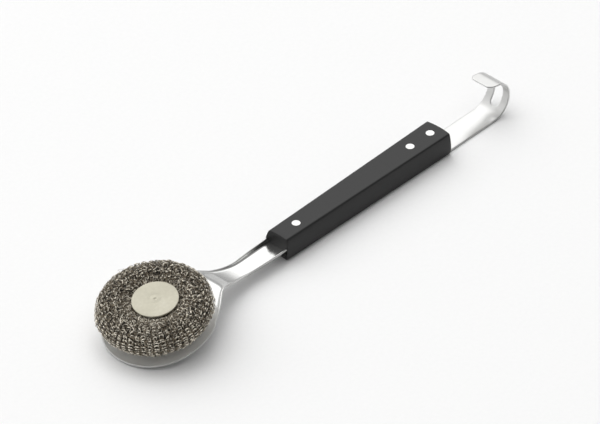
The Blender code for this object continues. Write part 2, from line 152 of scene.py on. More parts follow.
def vertex_normals(points, faces):
    """Angle-free area-weighted normals of a mesh of quads and triangles."""
    normals = np.zeros_like(points)
    for face in faces:
        a, b, c = points[face[0]], points[face[1]], points[face[2]]
        n = np.cross(b - a, c - a)
        if len(face) == 4:
            n = n + np.cross(c - a, points[face[3]] - a)
        size = np.linalg.norm(n)
        n = n / (size ** 0.5 + 1e-12)
        for v in face:
            normals[v] += n
    return normals / (np.linalg.norm(normals, axis=1, keepdims=True) + 1e-12)


def thicken(points, faces, thickness, steps=6):
    """A closed sheet below an open surface, with a half-round lip along each of its edges."""
    points = np.asarray(points, float)
    normals = vertex_normals(points, faces)
    count = len(points)
    below = points - normals * thickness
    edges = {}
    for face in faces:
        for i, a in enumerate(face):
            edges[(a, face[(i + 1) % len(face)])] = True
    border = [(a, b) for a, b in edges if (b, a) not in edges]
    outward = {}
    for a, b in border:
        along = points[b] - points[a]
        size = np.linalg.norm(along)
        if size < 1e-9:
            continue
        side = np.cross(along / size, normals[a] + normals[b])
        for v in (a, b):
            outward[v] = outward.get(v, 0) + side / (np.linalg.norm(side) + 1e-12)
    all_points = [points, below]
    start = 2 * count
    ring = {}
    for v, side in outward.items():
        side = side - normals[v] * np.dot(side, normals[v])
        side = side / (np.linalg.norm(side) + 1e-12)
        middle = points[v] - normals[v] * thickness / 2
        levels = [v]
        for k in range(1, steps):
            turn = math.pi * k / steps
            bend = math.cos(turn) * normals[v] + math.sin(turn) * side
            all_points.append((middle + bend * thickness / 2)[None])
            levels.append(start)
            start += 1
        levels.append(count + v)
        ring[v] = levels
    out = [tuple(f) for f in faces] + [tuple(count + v for v in reversed(f)) for f in faces]
    for a, b in border:
        if a not in ring or b not in ring:
            continue
        for k in range(steps):
            out.append((ring[b][k], ring[a][k], ring[a][k + 1], ring[b][k + 1]))
    return np.concatenate(all_points), out


def turned(profile, steps=96):
    """A solid of revolution about z from (radius, height) pairs that run down its outer side."""
    points, rows = [], []
    for radius, height in profile:
        if radius < 1e-6:
            rows.append([len(points)])
            points.append((0.0, 0.0, height))
        else:
            rows.append(list(range(len(points), len(points) + steps)))
            for i in range(steps):
                turn = 2 * math.pi * i / steps
                points.append((radius * math.cos(turn), radius * math.sin(turn), height))
    faces = []
    for upper, lower in zip(rows, rows[1:]):
        for i in range(steps):
            j = (i + 1) % steps
            if len(upper) == 1:
                faces.append((upper[0], lower[i], lower[j]))
            elif len(lower) == 1:
                faces.append((upper[j], upper[i], lower[0]))
            else:
                faces.append((upper[j], upper[i], lower[i], lower[j]))
    return np.array(points), faces


def round_corner(r, z, radius, start, end, steps=5):
    """Profile points round a corner whose centre is (r, z), from one angle to another."""
    out = []
    for i in range(steps + 1):
        turn = math.radians(start + (end - start) * i / steps)
        out.append((r + radius * math.cos(turn), z + radius * math.sin(turn)))
    return out


def cut(obj, cutters):
    for cutter in cutters:
        modifier = obj.modifiers.new("cut", "BOOLEAN")
        modifier.operation = "DIFFERENCE"
        modifier.solver = "EXACT"
        modifier.object = cutter
    graph = bpy.context.evaluated_depsgraph_get()
    mesh = bpy.data.meshes.new_from_object(obj.evaluated_get(graph))
    obj.modifiers.clear()
    obj.data = mesh
    for cutter in cutters:
        bpy.data.objects.remove(cutter)


def cutter(name, points, faces):
    mesh = bpy.data.meshes.new(name)
    mesh.from_pydata([tuple(p) for p in points], [], faces)
    obj = bpy.data.objects.new(name, mesh)
    bpy.context.scene.collection.objects.link(obj)
    solid = bmesh.new()
    solid.from_mesh(mesh)
    bmesh.ops.recalc_face_normals(solid, faces=solid.faces)
    solid.to_mesh(mesh)
    solid.free()
    return obj


def post(name, distance, radius, low, high, steps=40):
    """A cylinder cutter that stands at a distance from the datum."""
    points, faces = turned([(0, high), (radius, high), (radius, low), (0, low)], steps)
    turn = math.radians(4.3)
    spun = points.copy()
    spun[:, 0] = points[:, 0] * math.cos(turn) - points[:, 1] * math.sin(turn) + distance
    spun[:, 1] = points[:, 0] * math.sin(turn) + points[:, 1] * math.cos(turn)
    return cutter(name, world(spun), faces)


def sharpen(obj, degrees=30):
    obj.data.shade_smooth()
    obj.data.set_sharp_from_angle(angle=math.radians(degrees))


# ------------------------------------------------------------------ materials


class Nodes:
    """A short way to write a material's nodes."""

    def __init__(self, name, **values):
        self.material = bpy.data.materials.new(name)
        self.material.use_nodes = True
        self.tree = self.material.node_tree
        self.shader = self.tree.nodes["Principled BSDF"]
        self.object_space = self.add("ShaderNodeTexCoord").outputs["Object"]
        for key, value in values.items():
            self.shader.inputs[key.replace("_", " ")].default_value = value

    def add(self, kind, **values):
        node = self.tree.nodes.new(kind)
        for key, value in values.items():
            setattr(node, key, value)
        return node

    def link(self, a, b):
        self.tree.links.new(a, b)

    def scaled(self, x, y, z):
        mapping = self.add("ShaderNodeMapping")
        mapping.inputs["Scale"].default_value = (x, y, z)
        self.link(self.object_space, mapping.inputs["Vector"])
        return mapping.outputs["Vector"]

    def noise(self, vector, scale, detail=4.0, rough=0.5):
        node = self.add("ShaderNodeTexNoise")
        node.inputs["Scale"].default_value = scale
        node.inputs["Detail"].default_value = detail
        node.inputs["Roughness"].default_value = rough
        self.link(vector, node.inputs["Vector"])
        return node.outputs["Fac"]

    def ramp(self, value, stops):
        node = self.add("ShaderNodeValToRGB")
        ramp = node.color_ramp
        while len(ramp.elements) < len(stops):
            ramp.elements.new(0.5)
        for element, (place, colour) in zip(ramp.elements, stops):
            element.position = place
            element.color = (*colour, 1.0) if len(colour) == 3 else colour
        self.link(value, node.inputs["Fac"])
        return node.outputs["Color"]

    def span(self, value, low, high, from_low=0.0, from_high=1.0):
        node = self.add("ShaderNodeMapRange")
        node.inputs["From Min"].default_value = from_low
        node.inputs["From Max"].default_value = from_high
        node.inputs["To Min"].default_value = low
        node.inputs["To Max"].default_value = high
        self.link(value, node.inputs["Value"])
        return node.outputs["Result"]

    def maths(self, operation, a, b):
        node = self.add("ShaderNodeMath", operation=operation)
        for socket, value in zip(node.inputs, (a, b)):
            if isinstance(value, (int, float)):
                socket.default_value = value
            else:
                self.link(value, socket)
        return node.outputs[0]

    def bump(self, height, strength, distance, after=None):
        node = self.add("ShaderNodeBump")
        node.inputs["Strength"].default_value = strength
        node.inputs["Distance"].default_value = distance
        self.link(height, node.inputs["Height"])
        if after:
            self.link(after, node.inputs["Normal"])
        return node.outputs["Normal"]

    def to(self, value, socket):
        self.link(value, self.shader.inputs[socket])


def steel_material(name, roughness, grain, satin=None):
    """Polished stainless sheet with a faint lengthwise grain, smears and hairline scratches.

    satin is (x, distance, roughness): the head's hollow is blasted duller than the neck.
    """
    m = Nodes(name, Metallic=1.0)
    smears = m.noise(m.scaled(1, 1, 1), 45.0, 5.0, 0.6)
    m.to(m.ramp(smears, [(0.3, (0.80, 0.80, 0.79)), (0.7, (0.87, 0.87, 0.86))]), "Base Color")
    streaks = m.noise(m.scaled(40, 900, 900), 1.0, 3.0, 0.6)
    mixed = m.maths("ADD", m.span(smears, -0.03, 0.04), m.span(streaks, -0.02, 0.02))
    level = m.maths("ADD", mixed, roughness)
    if satin:
        split = m.add("ShaderNodeSeparateXYZ")
        m.link(m.object_space, split.inputs[0])
        level = m.maths("ADD", level, m.span(split.outputs["X"], satin[2], 0.0, satin[0], satin[1]))
    m.to(level, "Roughness")
    m.to(m.bump(streaks, grain, 0.000012), "Normal")
    return m.material


def handle_material():
    """Black satin moulded plastic: a fine spark-eroded texture, slight sheen changes and dust."""
    m = Nodes("handle_satin_black", Metallic=0.0)
    grain = m.noise(m.object_space, 2600.0, 2.0, 0.5)
    cloud = m.noise(m.object_space, 38.0, 4.0, 0.6)
    m.to(m.ramp(cloud, [(0.3, (0.0085, 0.0085, 0.0087)), (0.7, (0.012, 0.012, 0.0122))]), "Base Color")
    level = m.maths("ADD", m.span(grain, -0.05, 0.05), m.span(cloud, 0.36, 0.46))
    m.to(level, "Roughness")
    m.to(m.bump(grain, 0.35, 0.00003), "Normal")
    return m.material


def wire_material(name, dark, light, roughness, metallic=0.8):
    """Drawn steel wire in warm temper colours, lighter and darker from loop to loop: the light patches are painted
    glints and the dark ones painted shade.
    """
    m = Nodes(name, Metallic=metallic)
    painted_glint_shade = m.noise(m.object_space, 620.0, 2.0, 0.6)
    # The ramp paints glints and shade: light patches stand for wire catching the light, dark ones for wire in
    # shade.
    m.to(m.ramp(painted_glint_shade, [(0.40, dark), (0.53, light)]), "Base Color")
    m.to(m.span(painted_glint_shade, roughness - 0.08, roughness + 0.12), "Roughness")
    return m.material


def disc_material():
    """Dull plated steel: a warm cast with fine spots and broad patches in its tone."""
    m = Nodes("disc_dull_plate", Metallic=0.35)
    spots = m.noise(m.object_space, 420.0, 5.0, 0.65)
    broad = m.noise(m.object_space, 60.0, 3.0, 0.5)
    tone = m.maths("ADD", m.span(spots, 0.0, 0.5), m.span(broad, 0.0, 0.5))
    m.to(
        m.ramp(
            tone,
            [(0.3, (0.48, 0.455, 0.365)), (0.55, (0.56, 0.535, 0.435)), (0.75, (0.64, 0.615, 0.52))],
        ),
        "Base Color",
    )
    m.to(m.span(spots, 0.42, 0.6), "Roughness")
    m.to(m.bump(spots, 0.3, 0.00006), "Normal")
    return m.material


STEEL = steel_material("steel_polished", 0.17, 0.2, (DATUM + 0.018, DATUM + 0.045, 0.6))
STRIP_STEEL = steel_material("steel_strip", 0.3, 0.08)
RIVET_STEEL = steel_material("steel_rivet", 0.22, 0.2)
HANDLE = handle_material()
# Lit and shaded copies of one wire: the outer knit wears the lit one, the deeper knits a darker copy that paints
# the shade inside the ring.
WIRE = wire_material("wire_bright", (0.10, 0.082, 0.055), (1.0, 0.93, 0.79), 0.25, 0.22)
WIRE_SHADED = wire_material("wire_painted_shade", (0.022, 0.018, 0.012), (0.36, 0.30, 0.22), 0.34)
# The core's near-black wire is painted deep shade, where no light reaches inside the ring.
WIRE_CORE_SHADE = wire_material("wire_painted_core_shade", (0.012, 0.011, 0.009), (0.05, 0.045, 0.038), 0.5)
DISC = disc_material()


# ------------------------------------------------------------------ head blade


def neck_value(x, column):
    """A cubic curve through the neck's stations."""
    last = len(NECK) - 1
    i = next((k for k in range(last) if x <= NECK[k + 1][0]), last - 1)

    def slope(k):
        a, b = max(k - 1, 0), min(k + 1, last)
        return (NECK[b][column] - NECK[a][column]) / (NECK[b][0] - NECK[a][0])

    x0, x1 = NECK[i][0], NECK[i + 1][0]
    y0, y1 = NECK[i][column], NECK[i + 1][column]
    span = x1 - x0
    t = min(max((x - x0) / span, 0.0), 1.0)
    curve = (2 * t**3 - 3 * t**2 + 1) * y0 + (t**3 - 2 * t**2 + t) * span * slope(i)
    return curve + (3 * t**2 - 2 * t**3) * y1 + (t**3 - t**2) * span * slope(i + 1)


def dish_height(x, y):
    along = abs(x - DISH_CENTRE) / math.cos(TILT) / DISH_LONG
    spread = min(along**DISH_SQUARE + abs(y / DISH_WIDE) ** DISH_SQUARE, 1.0)
    plane = RIM_HEIGHT + (x - DISH_CENTRE) * math.tan(TILT)
    return plane - DISH_DEPTH / math.cos(TILT) * (1 - spread**2)


def across(count=44):
    turns = [i / count for i in range(-count, count + 1)]
    return [0.2 * turn + 0.8 * math.sin(math.pi / 2 * turn) for turn in turns]


def blade_row(x, half, shares=None):
    weight = smooth((x - 26.0) / 30.0)
    edge, floor = neck_value(x, 2), neck_value(x, 3)
    wall = smooth((x - 52.0) / 20.0)
    half_in = half - LIP * (1 - wall)
    row = []
    for share in shares or across():
        y = share * half_in
        neck = floor + (edge - LIP * wall - floor) * abs(share) ** (8.0 + 5.0 * smooth((x - 56.0) / 30.0))
        row.append((x, y, (1 - weight) * dish_height(x, y) + weight * neck))
    return row


def blade_rows():
    long = DISH_LONG * math.cos(TILT)
    tip = DISH_CENTRE - long + LIP
    rows = [[(tip, 0.0, dish_height(tip, 0.0))]]
    last = math.acos((DISH_CENTRE - NECK[0][0]) / (long - LIP))
    count = 70
    for i in range(1, count):
        turn = last * (i + 0.6) / (count + 0.6)
        x = DISH_CENTRE - (long - LIP) * math.cos(turn)
        share = abs(x - DISH_CENTRE) / (long - LIP)
        half = (DISH_WIDE - LIP) * (1 - share**DISH_SQUARE) ** (1 / DISH_SQUARE) + LIP
        rows.append(blade_row(x, half))
    count = 126
    for i in range(count + 1):
        x = NECK[0][0] + (NECK[-1][0] - NECK[0][0]) * i / count
        rows.append(blade_row(x, neck_value(x, 1)))
    for x in (200.0, 260.0, TANG_END):
        rows.append([(x, share * TANG_HALF, TANG_TOP) for share in across()])
    return rows


def grid_faces(rows):
    faces, starts, total = [], [], 0
    for row in rows:
        starts.append(total)
        total += len(row)
    for (a, row_a), (b, row_b) in zip(zip(starts, rows), zip(starts[1:], rows[1:])):
        for i in range(len(row_b) - 1):
            if len(row_a) == 1:
                faces.append((a, b + i, b + i + 1))
            else:
                faces.append((a + i, b + i, b + i + 1, a + i + 1))
    return faces


def build_blade():
    rows = blade_rows()
    points = np.array([p for row in rows for p in row])
    points, faces = thicken(points, grid_faces(rows), SHEET)
    blade = make_object("head_blade_pressing", world(points), faces, STEEL, "head_blade")
    holes = [post(f"hole_{k}", x, 2.8, 2.0, 8.0) for k, x in RIVETS.items()]
    ring, ring_faces = turned([(0, -2), (2.8, -2), (2.8, -9), (0, -9)], 40)
    holes.append(cutter("dish_hole", world(head(ring)), ring_faces))
    cut(blade, holes)
    sharpen(blade, 50)
    return blade


# ------------------------------------------------------------------ hook strip


def hook_place(run):
    """The strip's inner face and its normal in the middle plane, at a run from the bend's start."""
    if run <= 0:
        return (HOOK_BEND + run, STRIP_TOP), (0.0, 1.0)
    arc = HOOK_RADIUS * HOOK_TURN
    turn = min(run, arc) / HOOK_RADIUS
    beyond = max(run - arc, 0.0)
    x = HOOK_BEND + HOOK_RADIUS * math.sin(turn) + beyond * math.cos(turn)
    z = STRIP_TOP + HOOK_RADIUS * (1 - math.cos(turn)) + beyond * math.sin(turn)
    return (x, z), (-math.sin(turn), math.cos(turn))


def hook_point(run, y):
    (x, z), (nx, nz) = hook_place(run)
    flat = 1 - smooth(run / (HOOK_RADIUS * 0.9))
    drop = -STRIP_CROWN * flat * (y / STRIP_HALF) ** 2
    return (x + drop * nx, y, z + drop * nz)


def strip_half(run):
    shoulder = HANDLE_REAR - 5.0 - HOOK_BEND
    ramp = 4.0
    end = HOOK_RADIUS * HOOK_TURN + TAB_LENGTH
    if run <= shoulder:
        half = TAIL_HALF
    elif run < shoulder + ramp:
        share = math.acos(1 - (run - shoulder) / ramp) / (math.pi / 2)
        half = TAIL_HALF + (STRIP_HALF - TAIL_HALF) * math.sin(math.pi / 2 * share)
    elif run > end - TAB_CORNER:
        into = (run - (end - TAB_CORNER)) / TAB_CORNER
        half = STRIP_HALF - TAB_CORNER * (1 - math.sqrt(max(1 - into**2, 0.0)))
    else:
        half = STRIP_HALF
    return half - LIP


def slot_half(run):
    radius = SLOT_HALF + LIP
    low, high = SLOT_START * HOOK_RADIUS - LIP, SLOT_END * HOOK_RADIUS + LIP
    if not low < run < high:
        return 0.0
    into = min(run - low, high - run, radius)
    return math.sqrt(max(radius**2 - (radius - into) ** 2, 0.0))


def strip_stations():
    shoulder = HANDLE_REAR - 5.0 - HOOK_BEND
    end = HOOK_RADIUS * HOOK_TURN + TAB_LENGTH - LIP
    low, high = SLOT_START * HOOK_RADIUS - LIP, SLOT_END * HOOK_RADIUS + LIP
    radius = SLOT_HALF + LIP
    runs = [TAIL_START - HOOK_BEND, -60.0, shoulder - 1.0, shoulder]
    runs += [shoulder + 4.0 * (1 - math.cos(math.pi / 2 * i / 8)) for i in range(1, 9)]
    runs += list(np.linspace(shoulder + 6.0, -1.0, 22))
    runs += list(np.linspace(0.0, low - 0.7, 7))
    turns = [math.pi / 2 * i / 9 for i in range(10)]
    runs += [low + radius * (1 - math.cos(t)) for t in turns]
    runs += list(np.linspace(low + radius, high - radius, 34))[1:-1]
    runs += [high - radius * (1 - math.cos(t)) for t in reversed(turns)]
    runs += list(np.linspace(high + 0.7, end - TAB_CORNER, 14))
    runs += [end - TAB_CORNER + TAB_CORNER * math.sin(math.pi / 2 * i / 12) for i in range(1, 13)]
    return runs


def build_strip():
    across_half = 14
    points, rows = [], []
    for run in strip_stations():
        inner, outer = slot_half(run), strip_half(run)
        ys = [inner + (outer - inner) * k / across_half for k in range(across_half + 1)]
        right = []
        for y in ys:
            right.append(len(points))
            points.append(hook_point(run, y))
        left = [right[0]] if inner < 1e-6 else [len(points)]
        if inner >= 1e-6:
            points.append(hook_point(run, -inner))
        for y in ys[1:]:
            left.append(len(points))
            points.append(hook_point(run, -y))
        rows.append((left, right))
    faces = []
    for (left_a, right_a), (left_b, right_b) in zip(rows, rows[1:]):
        for k in range(across_half):
            faces.append((right_a[k], right_b[k], right_b[k + 1], right_a[k + 1]))
            faces.append((left_a[k + 1], left_b[k + 1], left_b[k], left_a[k]))
    points, faces = thicken(np.array(points), faces, SHEET)
    strip = make_object("hook_strip_bent", world(points), faces, STRIP_STEEL, "hook_strip")
    cut(strip, [post(f"strip_hole_{k}", RIVETS[k], 2.8, -2.0, 5.0) for k in ("middle", "rear")])
    sharpen(strip, 50)


# ------------------------------------------------------------------ handle


def swell(height):
    reach = HANDLE_TALL - BULGE_HEIGHT if height > BULGE_HEIGHT else BULGE_HEIGHT
    return 1 - ((height - BULGE_HEIGHT) / reach) ** 2


def side(height, share):
    half = (TOP_FRONT + (TOP_REAR - TOP_FRONT) * share) / 2
    return half + (BULGE_FRONT + (BULGE_REAR - BULGE_FRONT) * share) * swell(height)


def section(low, high, share, low_round, high_round):
    """Half outline of a scale's cross-section, as (y, z) from its lower middle to its upper middle."""
    arc = 6
    points = []
    bottom = side(low + low_round, share) - low_round
    points += [(bottom * k / 8, low) for k in range(8)]
    for i in range(arc + 1):
        turn = math.pi / 2 * i / arc
        z = low + low_round * (1 - math.cos(turn))
        points.append((side(z, share) - low_round * (1 - math.sin(turn)), z))
    start, end = low + low_round, high - high_round
    steps = max(3, round((end - start) / 0.9))
    for i in range(1, steps):
        z = start + (end - start) * i / steps
        points.append((side(z, share), z))
    for i in range(arc + 1):
        turn = math.pi / 2 * i / arc
        z = high - high_round * (1 - math.sin(turn))
        points.append((side(z, share) - high_round * (1 - math.cos(turn)), z))
    top = points[-1][0]
    points += [(top * (8 - k) / 8, high) for k in range(1, 9)]
    return points


def end_place(y, z, rear):
    share = 1.0 if rear else 0.0
    bow = 1 - (y / side(BULGE_HEIGHT, share)) ** 2
    if rear:
        return HANDLE_REAR + REAR_CROWN * (bow - 1) + END_BULGE_REAR * swell(z)
    return HANDLE_FRONT + FRONT_SCOOP * (bow - 1) - END_BULGE_FRONT * swell(z)


def inset(loop, amount):
    """The loop drawn in by an amount on each side, with its small corners kept whole."""
    loop = np.asarray(loop, float)
    low, high = loop.min(0), loop.max(0)
    middle, reach = (low + high) / 2, (high - low) / 2
    return middle + (loop - middle) * (1 - amount / reach)


def build_scale(name, node, low, high, low_round, high_round, end_round):
    rows = []
    middle_z = (low + high) / 2

    def loop_at(share):
        half = section(low, high, share, low_round, high_round)
        return [(y, z) for y, z in half] + [(-y, z) for y, z in reversed(half[1:-1])]

    def add(loop, place):
        rows.append([(place(y, z), y, z) for y, z in loop])

    stations = 48
    rounds = 6
    for rear in (False, True):
        share = 1.0 if rear else 0.0
        loop = loop_at(share)
        sign = -1 if rear else 1
        cap = inset(loop, end_round)
        rings = [0.12, 0.3, 0.5, 0.7, 0.87]
        cap_rows = [[(y * k, middle_z + (z - middle_z) * k) for y, z in cap] for k in rings]
        edge_rows = []
        for i in range(rounds + 1):
            turn = math.pi / 2 * i / rounds
            shift = end_round * (1 - math.sin(turn))
            edge_rows.append((inset(loop, shift), end_round * (1 - math.cos(turn))))
        block = [[(end_place(y, z, rear), y, z) for y, z in row] for row in cap_rows]
        for loop_in, back in edge_rows:
            block.append([(end_place(y, z, rear) + sign * back, y, z) for y, z in loop_in])
        if rear:
            rear_block = list(reversed(block))
        else:
            rows += block
    for i in range(1, stations):
        share = i / stations
        row = []
        for y, z in loop_at(share):
            front = end_place(y, z, False) + end_round
            rear = end_place(y, z, True) - end_round
            row.append((front + (rear - front) * share, y, z))
        rows.append(row)
    rows += rear_block
    count = len(rows[0])
    points = [p for row in rows for p in row]
    faces = []
    for r in range(len(rows) - 1):
        for i in range(count):
            j = (i + 1) % count
            faces.append((r * count + i, (r + 1) * count + i, (r + 1) * count + j, r * count + j))
    centre = len(points)
    points.append((end_place(0, middle_z, False), 0.0, middle_z))
    points.append((end_place(0, middle_z, True), 0.0, middle_z))
    last = (len(rows) - 1) * count
    for i in range(count):
        j = (i + 1) % count
        faces.append((centre, i, j))
        faces.append((centre + 1, last + j, last + i))
    scale = make_object(name, world(points), faces, HANDLE, node)
    solid = bmesh.new()
    solid.from_mesh(scale.data)
    bmesh.ops.recalc_face_normals(solid, faces=solid.faces)
    solid.to_mesh(scale.data)
    solid.free()
    return scale


def tang_cutters():
    """The pocket for the neck and tang: a floor and two walls that follow the blade's stations."""
    room = 0.12

    def tube(name, xs, corners):
        points = [(x, y, z) for x in xs for y, z in corners(x)]
        faces = [(0, 1, 2, 3), tuple(4 * len(xs) - k for k in (1, 2, 3, 4))]
        for r in range(len(xs) - 1):
            for i in range(4):
                j = (i + 1) % 4
                faces.append((4 * r + i, 4 * r + j, 4 * r + 4 + j, 4 * r + 4 + i))
        return cutter(name, world(points), faces)

    def floor(x):
        half, low = neck_value(x, 1) + SHEET + room, neck_value(x, 3) - SHEET - room
        high = neck_value(x, 3) + room
        return [(-half, low), (half, low), (half, high), (-half, high)]

    def wall(sign):
        def corners(x):
            half, low = neck_value(x, 1), neck_value(x, 3) - SHEET - room - 0.02
            inner, outer, top = half - room - 0.25, half + SHEET + room - 0.02, neck_value(x, 2) + room
            return [(sign * inner, low), (sign * outer, low), (sign * outer, top), (sign * inner, top)]

        return corners

    def tang(x):
        half, low, high = TANG_HALF + SHEET / 2 + room, TANG_TOP - SHEET - 0.1, TANG_TOP + 0.1
        return [(-half, low), (half, low), (half, high), (-half, high)]

    near = list(np.linspace(129.0, 152.0, 12))
    walls = [tube(f"pocket_wall_{k}", [x - 0.4 + 0.05 * k for x in near], wall(k)) for k in (-1, 1)]
    return [tube("pocket_floor", near, floor), *walls, tube("pocket_tang", [150.0, TANG_END + 1.0], tang)]


def slab(name, along, half):
    levels = (-3.0 - half / 100, STRIP_TOP + half / 90)
    corners = [(x, y, z) for x in along for y in (-half, half) for z in levels]
    faces = [(0, 1, 3, 2), (4, 6, 7, 5), (0, 4, 5, 1), (2, 3, 7, 6), (0, 2, 6, 4), (1, 5, 7, 3)]
    return cutter(name, world(corners), faces)


def build_handle():
    upper = build_scale("handle_upper_scale", "upper_scale", PARTING, HANDLE_TALL, 0.15, 1.1, 0.5)
    lower = build_scale("handle_lower_scale", "lower_scale", 0.0, PARTING - 0.1, 1.2, 0.15, 0.5)
    seats = [post(f"seat_{k}", x, 3.56, HANDLE_TALL - 1.1, 22.0, 64) for k, x in RIVETS.items()]
    bores = [post(f"bore_{k}", x, 2.6, 2.0, 19.0) for k, x in RIVETS.items()]
    cut(upper, [*tang_cutters(), *seats, *bores])
    sharpen(upper, 32)
    bores = [post(f"bore_low_{k}", x, 2.6, -1.0, 6.0) for k, x in RIVETS.items()]
    low_seat = post("seat_low", RIVETS["front"], 3.56, -1.0, 1.4, 64)
    channel = slab("strip_channel", (TAIL_START - 0.3, HANDLE_REAR + 5), TAIL_HALF + 0.2)
    mouth = slab("strip_mouth", (HANDLE_REAR - 5.4, HANDLE_REAR + 5), STRIP_HALF + 0.15)
    cut(lower, [channel, mouth, low_seat, *bores])
    sharpen(lower, 32)


def build_rivets():
    for place, distance in RIVETS.items():
        top = HANDLE_TALL + 0.1
        profile = [(0, top), (1.2, top - 0.004), (2.4, top - 0.02), (3.1, top - 0.045)]
        profile += round_corner(3.25, top - 0.28, 0.22, 80, 0, 4)
        profile += [(3.47, top - 1.0), (2.5, top - 1.0), (2.5, 6.1), (1.6, 6.1)]
        profile += [(1.6, top - 1.05), (0, top - 1.05)]
        points, faces = turned(profile, 72)
        points[:, 0] += distance
        cap = make_object(f"{place}_rivet_head", world(points), faces, RIVET_STEEL, f"{place}_rivet_cap")
        sharpen(cap, 40)
        flange = 1.0 if place == "front" else 0.55
        profile = [(0, top - 1.35), (1.3, top - 1.35), (1.3, 5.95), (2.5, 5.95), (2.5, 0.3 + flange)]
        profile += [(3.47, 0.3 + flange)] + round_corner(3.27, 0.5, 0.2, 0, -90, 4) + [(0, 0.3)]
        points, faces = turned(profile, 72)
        points[:, 0] += distance
        shank = make_object(f"{place}_rivet_shank", world(points), faces, RIVET_STEEL, f"{place}_rivet_post")
        sharpen(shank, 40)


# ------------------------------------------------------------------ clamp


def build_clamp():
    top, low = DISC_TOP, DISC_TOP - DISC_THICK
    profile = [(0, top - 0.38), (0.5, top - 0.36), (0.85, top - 0.2), (1.15, top + 0.12), (1.5, top + 0.22)]
    profile += [(2.1, top + 0.2), (2.55, top + 0.02), (2.8, top - 0.02), (4.2, top - 0.02), (4.45, top - 0.1)]
    profile += [(4.7, top - 0.1), (4.95, top - 0.02), (8.0, top), (13.0, top - 0.02), (16.6, top - 0.05)]
    profile += round_corner(DISC_RADIUS - 0.45, top - 0.5, 0.45, 88, 0, 5)
    profile += round_corner(DISC_RADIUS - 0.3, low + 0.3, 0.3, 0, -90, 4) + [(0, low)]
    points, faces = turned(profile, 128)
    disc = make_object("retaining_disc_plate", world(head(points)), faces, DISC, "retaining_disc", "clamp")
    sharpen(disc, 60)
    boss_top, boss_low = low - 0.05, 0.3 - DISH_DEPTH
    profile = [(0, boss_top), (4.0, boss_top), (4.0, boss_low + 0.3), (3.7, boss_low), (2.95, boss_low)]
    profile += [(2.65, boss_low + 0.3)]
    z = boss_low + 0.5
    while z < boss_low + 13.0:
        profile += [(2.78, z), (2.5, z + 0.4)]
        z += 0.8
    profile += [(2.5, boss_low + 14.0), (0, boss_low + 14.0)]
    points, faces = turned(profile, 64)
    boss = make_object(
        "threaded_boss_sleeve", world(head(points)), faces, RIVET_STEEL, "threaded_boss", "clamp"
    )
    sharpen(boss, 35)


def build_screw():
    washer_top = -DISH_DEPTH - SHEET - 0.3
    head_top = washer_top - 1.1 - 0.3
    head_low = head_top - 2.2
    profile = [(0, head_top + 12.0), (1.7, head_top + 12.0)]
    z = head_top + 11.5
    while z > head_top + 0.6:
        profile += [(2.36, z), (2.05, z - 0.4)]
        z -= 0.8
    profile += [(2.05, head_top), (4.85, head_top), (5.0, head_top - 0.15), (5.0, head_top - 0.6)]
    for i in range(1, 9):
        turn = math.pi / 2 * i / 8
        profile.append((5.0 * math.cos(turn) ** 0.75 if i < 8 else 0.0, head_top - 0.6 - 1.6 * math.sin(turn)))
    points, faces = turned(profile, 64)
    screw = make_object("clamp_screw_truss", world(head(points)), faces, RIVET_STEEL, "clamp_screw", "screw")
    half = 0.6
    levels = (head_low - 1.0, head_low + 0.9)
    corners = [(x, y, z) for x in (-8.0, 8.0) for y in (-half, half) for z in levels]
    box_faces = [(0, 1, 3, 2), (4, 6, 7, 5), (0, 4, 5, 1), (2, 3, 7, 6), (0, 2, 6, 4), (1, 5, 7, 3)]
    cut(screw, [cutter("coin_slot", world(head(corners)), box_faces)])
    sharpen(screw, 35)


def build_washer():
    """The split lock washer as a swept square section whose ends stand slightly apart."""
    top = -DISH_DEPTH - SHEET - 0.3
    points, faces = [], []
    steps = 80
    gap = math.radians(14.0)
    inner, outer, tall, bevel = 2.75, 4.6, 1.1, 0.15
    outline = [
        (inner + bevel, top), (outer - bevel, top), (outer, top - bevel), (outer, top - tall + bevel),
        (outer - bevel, top - tall), (inner + bevel, top - tall), (inner, top - tall + bevel), (inner, top - bevel),
    ]
    for i in range(steps + 1):
        turn = gap / 2 + (2 * math.pi - gap) * i / steps
        for radius, z in outline:
            points.append((radius * math.cos(turn), radius * math.sin(turn), z))
    n = len(outline)
    for i in range(steps):
        for k in range(n):
            m = (k + 1) % n
            faces.append((i * n + k, (i + 1) * n + k, (i + 1) * n + m, i * n + m))
    faces.append(tuple(range(n)))
    faces.append(tuple(steps * n + k for k in reversed(range(n))))
    washer = make_object(
        "lock_washer_split", world(head(points)), faces, RIVET_STEEL, "lock_washer", "washer"
    )
    solid = bmesh.new()
    solid.from_mesh(washer.data)
    bmesh.ops.recalc_face_normals(solid, faces=solid.faces)
    solid.to_mesh(washer.data)
    solid.free()
    sharpen(washer, 30)


# ------------------------------------------------------------------ scourer


def ring_point(theta, phi, scale):
    """A place on the knitted ring in the dish's frame, and the ring's outward normal there."""
    under = np.clip(-np.sin(phi), 0.0, 1.0)
    wide, tall = RING_WIDE * scale, (RING_TALL + np.where(under > 0, 1.0, -1.2)) * scale
    radius = RING_MID + wide * np.cos(phi) * (1 - RING_TUCK * under * np.where(np.cos(phi) > 0, 1.0, 0.0))
    height = RING_CENTRE + RING_RAISE + RING_FLARE * np.cos(phi) + tall * np.sin(phi)
    point = np.stack([radius * np.cos(theta), radius * np.sin(theta), height], -1)
    out = np.cos(phi) / wide
    up = np.sin(phi) / tall
    size = np.sqrt(out**2 + up**2)
    normal = np.stack([out / size * np.cos(theta), out / size * np.sin(theta), up / size], -1)
    return point, normal


def ripple(rng, theta, count, size, low=2, high=26):
    """A smooth random function of the angle round the ring."""
    total = np.zeros_like(theta)
    for _ in range(count):
        order = rng.integers(low, high)
        total += rng.normal() * np.sin(order * theta + rng.uniform(0, 2 * math.pi))
    return total * size / math.sqrt(count)


